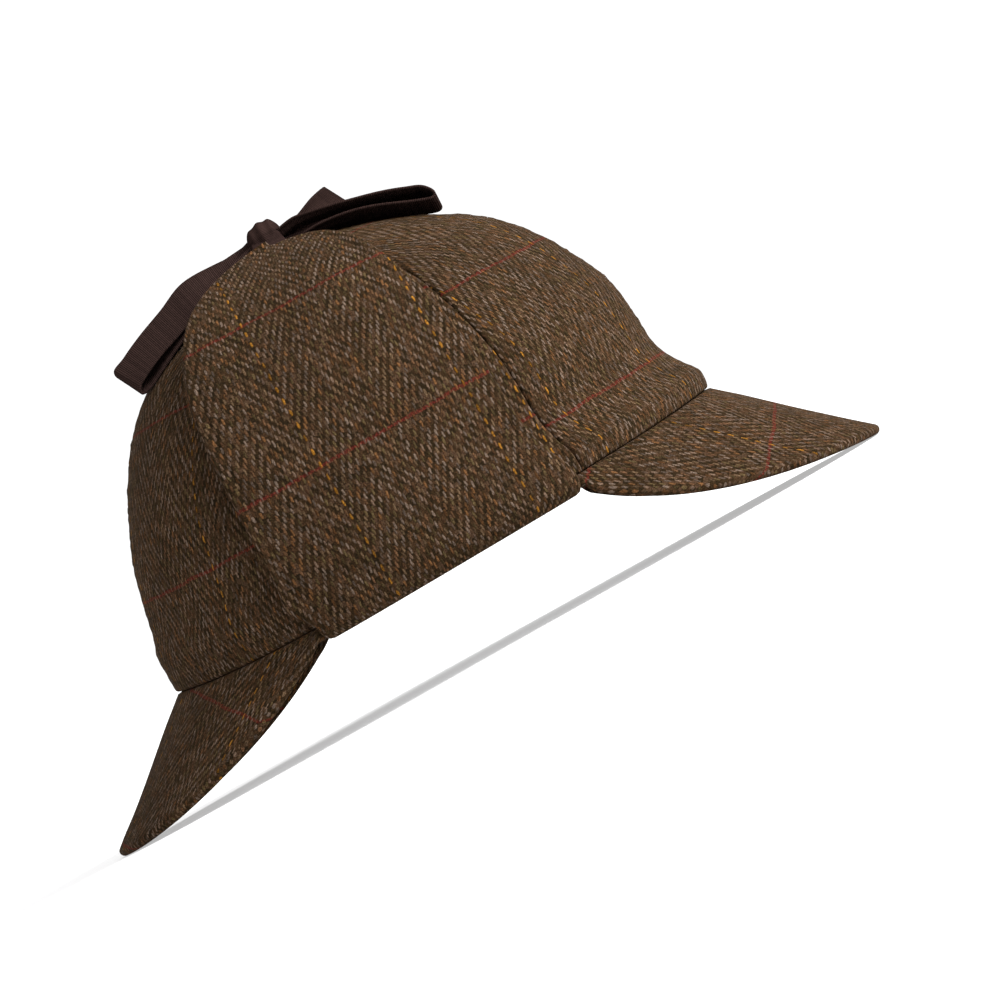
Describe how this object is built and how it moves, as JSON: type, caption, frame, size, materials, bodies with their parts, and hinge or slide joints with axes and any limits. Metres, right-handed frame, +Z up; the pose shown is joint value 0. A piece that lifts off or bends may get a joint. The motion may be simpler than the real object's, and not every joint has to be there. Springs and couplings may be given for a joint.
{
  "type": "deerstalker hat",
  "caption": "Tweed deerstalker hat: domed panelled crown, stiff front and back peaks, ear flaps folded up and tied with a ribbon bow on top.",
  "frame": {"origin": "on the surface the hat stands on, under the middle of its box", "axes": "+X to the front peak, +Y to the wearer's left, +Z up"},
  "size_m": [0.3, 0.1796, 0.1676],
  "materials": {
    "tweed": "brown and olive herringbone wool tweed with a fine windowpane overcheck",
    "grosgrain": "very dark brown ribbed grosgrain ribbon"
  },
  "bodies": {
    "root": {"crown_panel_front_right": "tweed", "crown_panel_front_left": "tweed", "crown_panel_side_right": "tweed", "crown_panel_side_left": "tweed", "crown_panel_back_right": "tweed", "crown_panel_back_left": "tweed", "front_peak": "tweed", "back_peak": "tweed", "ear_flap_right": "tweed", "ear_flap_left": "tweed", "tie_ribbon_right": "grosgrain", "tie_ribbon_left": "grosgrain", "bow_knot": "grosgrain", "bow_loop_front": "grosgrain", "bow_loop_back": "grosgrain", "bow_tail_front": "grosgrain", "bow_tail_back": "grosgrain"}
  },
  "joints": []
}
